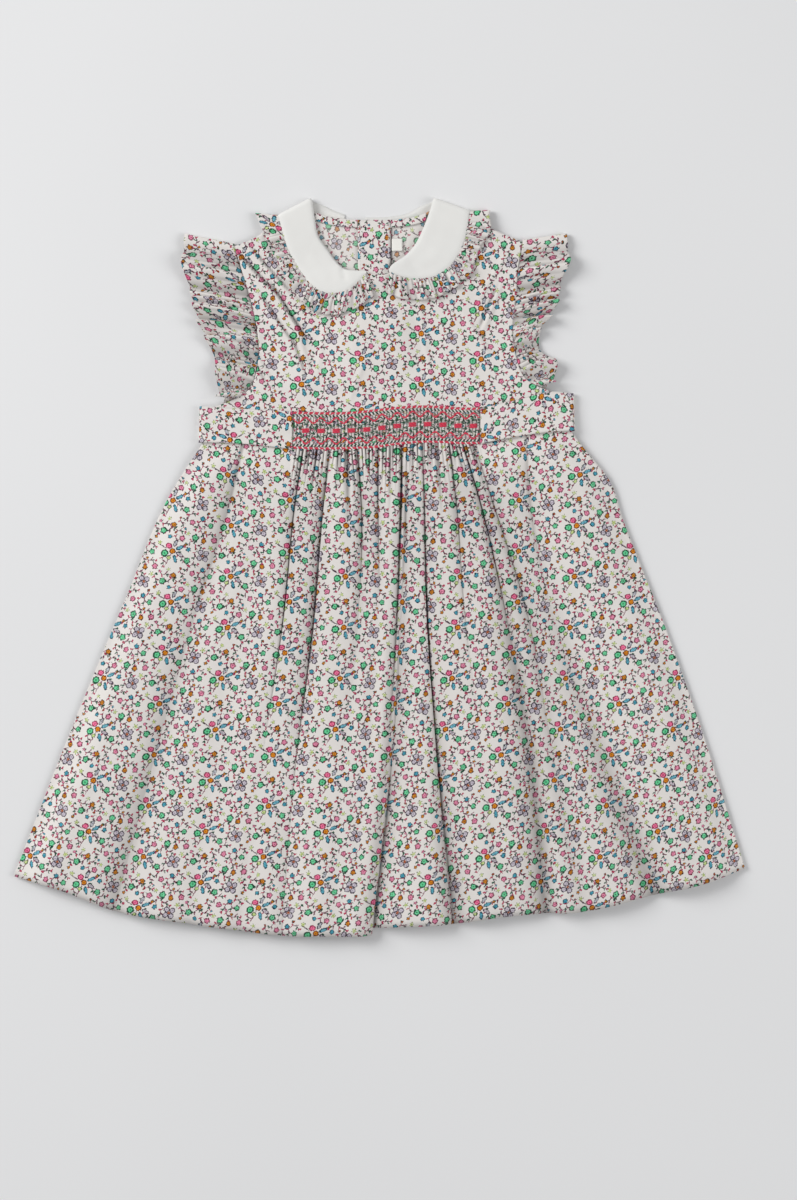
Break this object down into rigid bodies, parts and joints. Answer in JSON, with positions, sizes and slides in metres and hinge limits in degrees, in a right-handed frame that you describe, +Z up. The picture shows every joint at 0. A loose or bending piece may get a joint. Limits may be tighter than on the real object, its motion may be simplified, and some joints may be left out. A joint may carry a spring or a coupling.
{
  "type": "toddler dress",
  "caption": "Toddler's dress laid flat on its back: gathered skirt, smocked waistband with side sashes, frilled armholes and a white collar with a gathered frill.",
  "frame": {"origin": "on the surface that the dress lies on, under the middle of its bounding box", "axes": "+Z up from that surface, +Y from hem to collar, +X to the right of someone who looks down at the front of the dress with its collar away from them"},
  "size_m": [0.526, 0.5306, 0.0129],
  "materials": {
    "printed_lawn": "soft cotton lawn, off-white with a small floral print",
    "smocked_lawn": "the same lawn, smocked with red and green thread",
    "white_cotton": "plain white cotton, matt",
    "pearl_button": "polished"
  },
  "bodies": {
    "root": {"skirt_front": "printed_lawn", "skirt_back": "printed_lawn", "smocked_waistband": "smocked_lawn", "bodice_front": "printed_lawn", "bodice_back_left": "printed_lawn", "bodice_back_right": "printed_lawn", "back_placket": "printed_lawn", "neck_facing_left": "printed_lawn", "neck_facing_right": "printed_lawn", "label": "white_cotton", "collar_left": "white_cotton", "collar_right": "white_cotton", "collar_frill_left": "printed_lawn", "collar_frill_right": "printed_lawn", "armhole_frill_left": "printed_lawn", "armhole_frill_right": "printed_lawn", "sash_left": "printed_lawn", "sash_right": "printed_lawn", "back_button_1": "pearl_button", "back_button_2": "pearl_button", "back_button_3": "pearl_button"}
  },
  "joints": []
}
